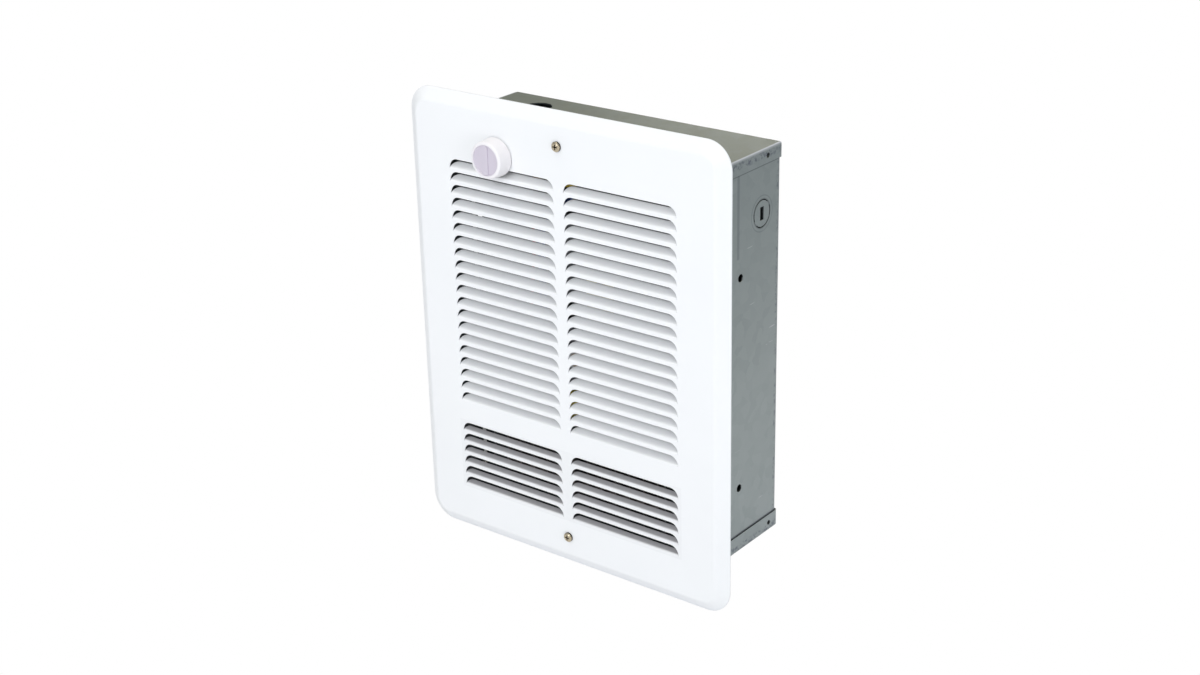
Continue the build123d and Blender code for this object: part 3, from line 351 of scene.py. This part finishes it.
# A painted highlight along the fold and spotted wear under it
agedCanWithPaintedLight("can_top", [
    # Painted highlight along the fold
    {"along": "width", "at": 0.1287, "half": 0.0004, "soft": 0.0008, "shade": paintedFoldHighlight, "blend": "MIX",
     "over": 0.1610},
    {"along": "up", "at": 0.1585, "half": 0.0015, "soft": 0.0020, "shade": (0.50, 0.50, 0.60),
     "side": True, "spotted": True}])
agedCanWithPaintedLight("can_bottom", [
    {"along": "up", "at": -0.1570, "half": 0.0015, "soft": 0.0020, "shade": (0.55, 0.55, 0.62),
     "side": True, "spotted": True}])
# Painted shade: the sheet inside is darkened by guess as well
galvanised("galvanisedInnerPaintedShade", {**sheetMetal, "low": (0.10, 0.105, 0.11), "high": (0.16, 0.167, 0.172)})
dress("galvanisedInnerPaintedShade", "thermostat_bracket", "fan_deck", "scroll_back", "scroll_wrap", "outlet_duct",
      "element_brackets")
print("sheet metal dressed")

# Knob, screws and what the can holds

finishes = {
    "zincPlate": ({"low": (0.48, 0.48, 0.47), "high": (0.62, 0.62, 0.60), "rough": 0.32, "metal": 0.85,
                   "coarse": 120.0, "fine": 1300.0}, ["thermostat_stem", "motor_screws", "motor_nuts",
                                                      "deck_screws", "chassis_screws", "limit_screws"]),
    "blackPhenolic": ({"low": (0.018, 0.016, 0.014), "high": (0.045, 0.04, 0.036), "rough": 0.5,
                       "coarse": 60.0, "fine": 1100.0}, ["thermostat_body"]),
    "brownPhenolic": ({"low": (0.05, 0.03, 0.018), "high": (0.09, 0.058, 0.036), "rough": 0.42,
                       "coarse": 80.0, "fine": 1100.0}, ["limit_switch"]),
    "turnedBrass": ({"low": (0.50, 0.36, 0.14), "high": (0.64, 0.48, 0.22), "rough": 0.3, "metal": 0.95,
                     "coarse": 160.0}, ["thermostat_nut"]),
    "rolledBimetal": ({"low": (0.42, 0.32, 0.22), "high": (0.56, 0.46, 0.34), "rough": 0.34, "metal": 0.95,
                       "coarse": 90.0}, ["bimetal_strip"]),
    "tinnedBrass": ({"low": (0.52, 0.50, 0.42), "high": (0.66, 0.63, 0.55), "rough": 0.3, "metal": 0.9,
                     "coarse": 150.0}, ["thermostat_terminals", "limit_terminals", "element_terminals"]),
    "millAluminium": ({"low": (0.55, 0.56, 0.57), "high": (0.68, 0.69, 0.70), "rough": 0.38, "metal": 0.9,
                       "coarse": 40.0}, ["blower_wheel"]),
    "castAluminium": ({"low": (0.42, 0.43, 0.44), "high": (0.55, 0.56, 0.57), "rough": 0.5, "metal": 0.85,
                       "coarse": 110.0, "fine": 700.0, "bump": 0.3}, ["wheel_hub", "motor_front_frame",
                                                                      "motor_rear_frame"]),
    "blackOxide": ({"low": (0.02, 0.02, 0.022), "high": (0.05, 0.05, 0.055), "rough": 0.4, "metal": 0.6},
                   ["hub_set_screw"]),
    "groundSteel": ({"low": (0.48, 0.48, 0.48), "high": (0.60, 0.60, 0.60), "rough": 0.24, "metal": 0.95,
                     "coarse": 200.0}, ["motor_shaft"]),
    "bronze": ({"low": (0.34, 0.21, 0.10), "high": (0.46, 0.32, 0.17), "rough": 0.5, "metal": 0.85,
                "coarse": 220.0}, ["motor_bearings"]),
    "greenPlate": ({"low": (0.03, 0.20, 0.06), "high": (0.07, 0.32, 0.11), "rough": 0.35, "metal": 0.5,
                    "coarse": 150.0}, ["ground_screw"]),
    "ceramic": ({"low": (0.74, 0.71, 0.64), "high": (0.84, 0.82, 0.77), "rough": 0.6, "coarse": 120.0,
                 "fine": 1200.0}, ["element_insulators"]),
    "blackWire": ({"low": (0.012, 0.012, 0.012), "high": (0.035, 0.035, 0.035), "rough": 0.42,
                   "coarse": 40.0}, ["line_lead"]),
    "redWire": ({"low": (0.34, 0.02, 0.015), "high": (0.48, 0.045, 0.035), "rough": 0.42, "coarse": 40.0},
                ["load_lead", "limit_lead"]),
    "whiteWire": ({"low": (0.66, 0.66, 0.63), "high": (0.76, 0.76, 0.74), "rough": 0.42, "coarse": 40.0},
                  ["neutral_lead"]),
    "blueWire": ({"low": (0.03, 0.07, 0.28), "high": (0.06, 0.12, 0.40), "rough": 0.42, "coarse": 40.0},
                 ["motor_leads"]),
    "yellowNylon": ({"low": (0.62, 0.43, 0.04), "high": (0.74, 0.55, 0.08), "rough": 0.4, "coarse": 90.0},
                    ["wire_connectors"]),
    "yellowZinc": ({"low": (0.44, 0.38, 0.15), "high": (0.60, 0.56, 0.26), "rough": 0.34, "metal": 0.8,
                    "coarse": 35.0}, ["motor_strap"]),
}
for name, (settings, wanted) in finishes.items():
    surface(name, settings)
    dress(name, *wanted)
print("fittings dressed")

# The screws that show: a brassy nickel, with painted shade and grime in the cross and round the rim

nickel = {"low": (0.40, 0.33, 0.22), "high": (0.66, 0.58, 0.44), "rough": 0.26, "metal": 0.95,
          "coarse": 500.0, "fine": 1500.0, "bump": 0.12, "grime": (0.04, 0.033, 0.02), "grimeAndShadeStart": -0.0092,
          "grimeAndShadeFull": -0.0088}
tree, shader = surface("nickelPlate", nickel)
deep = placeOf(tree)[1]
# Painted shade and grime where the head lies deeper than its top
tint(tree, shader, step(tree, deep, nickel["grimeAndShadeStart"], nickel["grimeAndShadeFull"]), nickel["grime"])
dress("nickelPlate", "grille_screws")

# Knob: white at its side and lip, a greyer lavender in its dished face

knobLook = {"low": (0.79, 0.77, 0.79), "high": (0.83, 0.81, 0.83), "rough": 0.42, "coarse": 30.0,
            "fine": 900.0, "bump": 0.06, "coat": 0.15}
knobDish = {"middle": (-0.060, 0, 0.1466), "reach": 0.0121, "soft": 0.0006, "front": -0.0170,
            "tint": (0.72, 0.68, 0.76)}
tree, shader = surface("knobPlastic", knobLook)
place, deep = placeOf(tree)[:2]
fromAxis = distanceTo(tree, place, (1, 0, 1), knobDish["middle"])
mask = times(tree, step(tree, fromAxis, knobDish["reach"] + knobDish["soft"],
                        knobDish["reach"] - knobDish["soft"]),
             step(tree, deep, knobDish["front"] + softEdge, knobDish["front"] - softEdge))
tint(tree, shader, mask, knobDish["tint"])
dress("knobPlastic", "thermostat_knob")

# Laminations, the wrapped coil and the heat-tinted element

lined = {
    "laminations": ({"low": (0.06, 0.06, 0.07), "high": (0.14, 0.14, 0.15), "rough": 0.4, "metal": 0.7,
                     "coarse": 60.0, "bands": "Y", "scale": 110.0}, ["motor_stator", "motor_rotor"]),
    "coilTape": ({"low": (0.58, 0.44, 0.05), "high": (0.70, 0.58, 0.12), "rough": 0.38, "coarse": 40.0,
                  "bands": "X", "scale": 22.0}, ["motor_coil"]),
}
for name, (settings, wanted) in lined.items():
    tree, shader = surface(name, settings)
    lines = addNode(tree, "ShaderNodeTexWave", {"bands_direction": settings["bands"]},
                    {"Scale": settings["scale"], "Distortion": 0.4})
    tree.links.new(placeOf(tree)[0], lines.inputs["Vector"])
    bumped(tree, shader, lines.outputs["Fac"], 0.35, 0.0003)
    dress(name, *wanted)

heated = {"low": (0.16, 0.13, 0.12), "high": (0.34, 0.31, 0.30), "rough": 0.42, "metal": 0.85,
          "coarse": 26.0}
surface("heatedSteel", heated)
dress("heatedSteel", "element_sheath", "element_fins")
print("motor and element dressed")

# Floor, lights and camera

stageSettings = {"floor": -0.1905, "reach": 9.0, "shade": (0.88, 0.88, 0.89), "rough": 0.9,
                 "white": (1, 1, 1, 1), "sky": (0.90, 0.95, 1.0, 1), "skyStrength": 0.47}


def shownAs(tree, kind, lighting):
    # What the camera sees is plain white, and everything else is lit by the other shader
    rays = addNode(tree, "ShaderNodeLightPath")
    shown = addNode(tree, kind, {}, {"Color": stageSettings["white"], "Strength": 1.0})
    choice = addNode(tree, "ShaderNodeMixShader")
    tree.links.new(rays.outputs["Is Camera Ray"], choice.inputs[0])
    tree.links.new(lighting.outputs[0], choice.inputs[1])
    tree.links.new(shown.outputs[0], choice.inputs[2])
    return choice


floorMesh = bpy.data.meshes.new("floor")
reach, level = stageSettings["reach"], stageSettings["floor"]
corners = [(-reach, -reach, level), (reach, -reach, level), (reach, reach, level), (-reach, reach, level)]
floorMesh.from_pydata(corners, [], [(0, 1, 2, 3)])
floor = bpy.data.objects.new("floor", floorMesh)
scene.collection.objects.link(floor)
material, tree, shader = newMaterial("paleFloor")
shader.inputs["Base Color"].default_value = (*stageSettings["shade"], 1)
shader.inputs["Roughness"].default_value = stageSettings["rough"]
choice = shownAs(tree, "ShaderNodeEmission", shader)
# From below the floor is clear, so that it hides nothing
under = addNode(tree, "ShaderNodeNewGeometry")
gone = addNode(tree, "ShaderNodeBsdfTransparent")
oneSided = addNode(tree, "ShaderNodeMixShader")
tree.links.new(under.outputs["Backfacing"], oneSided.inputs[0])
tree.links.new(choice.outputs[0], oneSided.inputs[1])
tree.links.new(gone.outputs[0], oneSided.inputs[2])
tree.links.new(oneSided.outputs[0], tree.nodes["Material Output"].inputs["Surface"])
floorMesh.materials.append(material)

world = bpy.data.worlds.new("studio")
world.use_nodes = True
scene.world = world
tree = world.node_tree
sky = tree.nodes["Background"]
sky.inputs["Color"].default_value = stageSettings["sky"]
sky.inputs["Strength"].default_value = stageSettings["skyStrength"]
choice = shownAs(tree, "ShaderNodeBackground", sky)
tree.links.new(choice.outputs[0], tree.nodes["World Output"].inputs["Surface"])

lampTarget = Vector((0, 0.03, 0))
lamps = [
    {"name": "frontKey", "at": (0.15, -2.25, 1.15), "size": 1.3, "power": 29.0, "tint": (0.97, 0.98, 1.0)},
    {"name": "rightFill", "at": (2.2, -0.9, 0.1), "size": 1.4, "power": 18.5, "tint": (0.98, 0.99, 1.0)},
    {"name": "topSoft", "at": (-0.3, -0.2, 2.0), "size": 1.2, "power": 14.0, "tint": (1.0, 0.95, 0.84)},
    {"name": "backFill", "at": (-0.9, 2.4, 0.0), "size": 1.4, "power": 24.0, "tint": (1.0, 1.0, 1.0)},
]
for lamp in lamps:
    light = bpy.data.lights.new(lamp["name"], "AREA")
    light.size = lamp["size"]
    light.energy = lamp["power"]
    light.color = lamp["tint"]
    holder = bpy.data.objects.new(lamp["name"], light)
    holder.location = lamp["at"]
    holder.rotation_euler = (lampTarget - Vector(lamp["at"])).to_track_quat("-Z", "Y").to_euler()
    scene.collection.objects.link(holder)

view = {"place": (0.8647, -1.0679, 0.5778), "azimuth": 37.983, "elevation": 22.551, "roll": -1.332,
        "lens": 57.24}
azimuth, elevation, roll = (math.radians(view[key]) for key in ("azimuth", "elevation", "roll"))
back = Vector((math.sin(azimuth) * math.cos(elevation), -math.cos(azimuth) * math.cos(elevation),
               math.sin(elevation)))
side = Vector((math.cos(azimuth), math.sin(azimuth), 0))
up = back.cross(side)
tiltedSide = side * math.cos(roll) + up * math.sin(roll)
tiltedUp = up * math.cos(roll) - side * math.sin(roll)
camera = bpy.data.cameras.new("camera")
camera.sensor_width = 36.0
camera.lens = view["lens"]
camera.clip_end = 50.0
holder = bpy.data.objects.new("camera", camera)
turn = Matrix((tiltedSide, tiltedUp, back)).transposed().to_4x4()
holder.matrix_world = Matrix.Translation(view["place"]) @ turn
scene.collection.objects.link(holder)
scene.camera = holder
scene.view_settings.view_transform = "Standard"
print("stage ready")
